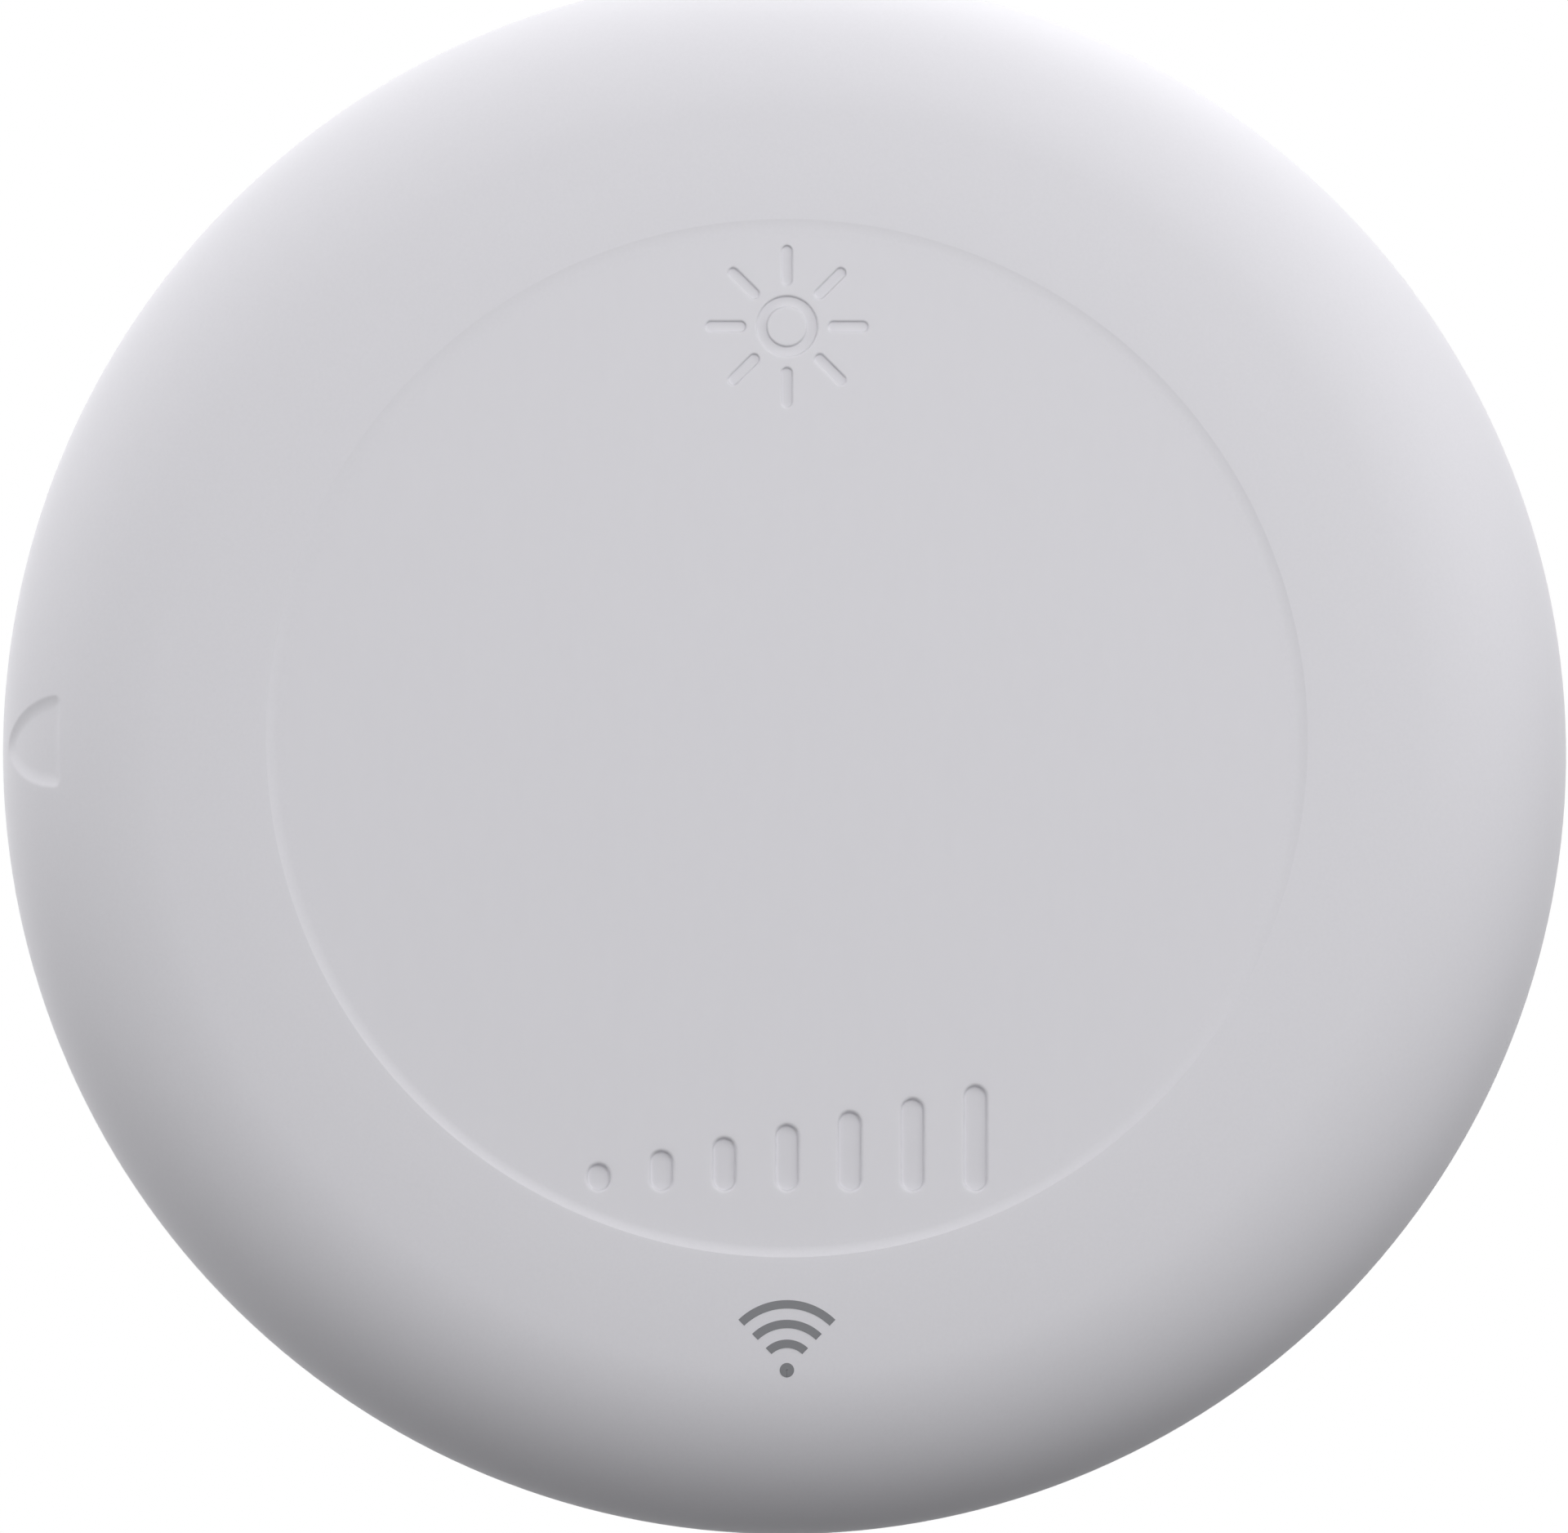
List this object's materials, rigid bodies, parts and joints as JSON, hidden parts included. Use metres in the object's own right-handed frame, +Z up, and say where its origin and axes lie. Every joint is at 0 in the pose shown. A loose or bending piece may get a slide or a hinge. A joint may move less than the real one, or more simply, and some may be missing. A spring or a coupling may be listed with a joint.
{
  "type": "sun sensor",
  "caption": "Round white wall-mounted wireless sun sensor: rolled front cover with a sunk face and sun mark, on a bayonet foot, with battery door, dial and buttons behind.",
  "frame": {"origin": "centre of the foot's wall face, on the axis of the round head", "axes": "+Z up, +Y into the wall, the front faces -Y, +X to the right from the front"},
  "size_m": [0.12, 0.038, 0.12],
  "materials": {
    "cover_white": "fine spark-eroded grain",
    "shell_grey": "fine matt",
    "foot_grey": "matt",
    "black_rubber": "matt",
    "screw_steel": "zinc plated",
    "nickel_strip": "satin nickel",
    "cell_sleeve": "printed film sleeve, unmarked",
    "red_wire": "satin",
    "black_wire": "satin",
    "board_green": "solder mask",
    "clear_rod": "polished",
    "black_moulding": "matt",
    "chip_black": "moulded epoxy",
    "tinned_can": "bright tin",
    "copper_wire": "enamelled",
    "capacitor_sleeve": "sleeved can",
    "ceramic_tan": "fired ceramic",
    "trimmer_blue": "moulded",
    "control_white": "fine matt",
    "button_grey": "fine matt",
    "led_epoxy": "clear epoxy",
    "label_film": "bare polyester film"
  },
  "bodies": {
    "foot": {"wall_foot": "foot_grey"},
    "head": {"rear_shell": "shell_grey", "seal_ring": "black_rubber", "cover_screws": "screw_steel", "batteries": "cell_sleeve", "contact_link": "nickel_strip", "contact_positive": "nickel_strip", "contact_negative": "nickel_strip", "battery_springs": "nickel_strip", "positive_lead": "red_wire", "negative_lead": "black_wire", "circuit_board": "board_green", "board_screws": "screw_steel", "light_sensor": "ceramic_tan", "light_guide": "clear_rod", "guide_holder": "black_moulding", "processor_chip": "chip_black", "radio_board": "board_green", "radio_shield": "tinned_can", "antenna_coil": "copper_wire", "crystal": "tinned_can", "capacitor": "capacitor_sleeve", "chip_components": "ceramic_tan", "potentiometer": "trimmer_blue", "status_leds": "led_epoxy", "led_windows": "clear_rod", "switch_bodies": "black_moulding", "vent_plug": "black_rubber", "rating_label": "label_film"},
    "cover": {"front_cover": "cover_white"},
    "door": {"battery_door": "shell_grey"},
    "dial": {"threshold_dial": "control_white"},
    "program": {"program_button": "button_grey", "program_stem": "chip_black"},
    "mode": {"mode_button": "button_grey", "mode_stem": "chip_black"}
  },
  "joints": [
    {"name": "head_turn", "type": "hinge", "parent": "foot", "child": "head", "pos_m": [0, 0, 0], "axis": [0, -1, 0], "range_deg": [0, 25]},
    {"name": "cover_lift", "type": "slide", "parent": "head", "child": "cover", "axis": [0, -1, 0], "range_m": [0, 0.045]},
    {"name": "door_slide", "type": "slide", "parent": "head", "child": "door", "axis": [0, 0, -1], "range_m": [0, 0.034]},
    {"name": "dial_turn", "type": "hinge", "parent": "head", "child": "dial", "pos_m": [-0.01564, -0.01, 0.03353], "axis": [0, -1, 0], "range_deg": [-135, 135]},
    {"name": "program_press", "type": "slide", "parent": "head", "child": "program", "axis": [0, -1, 0], "range_m": [0, 0.0005], "stiffness_N_per_m": 2000},
    {"name": "mode_press", "type": "slide", "parent": "head", "child": "mode", "axis": [0, -1, 0], "range_m": [0, 0.0005], "stiffness_N_per_m": 2000}
  ]
}
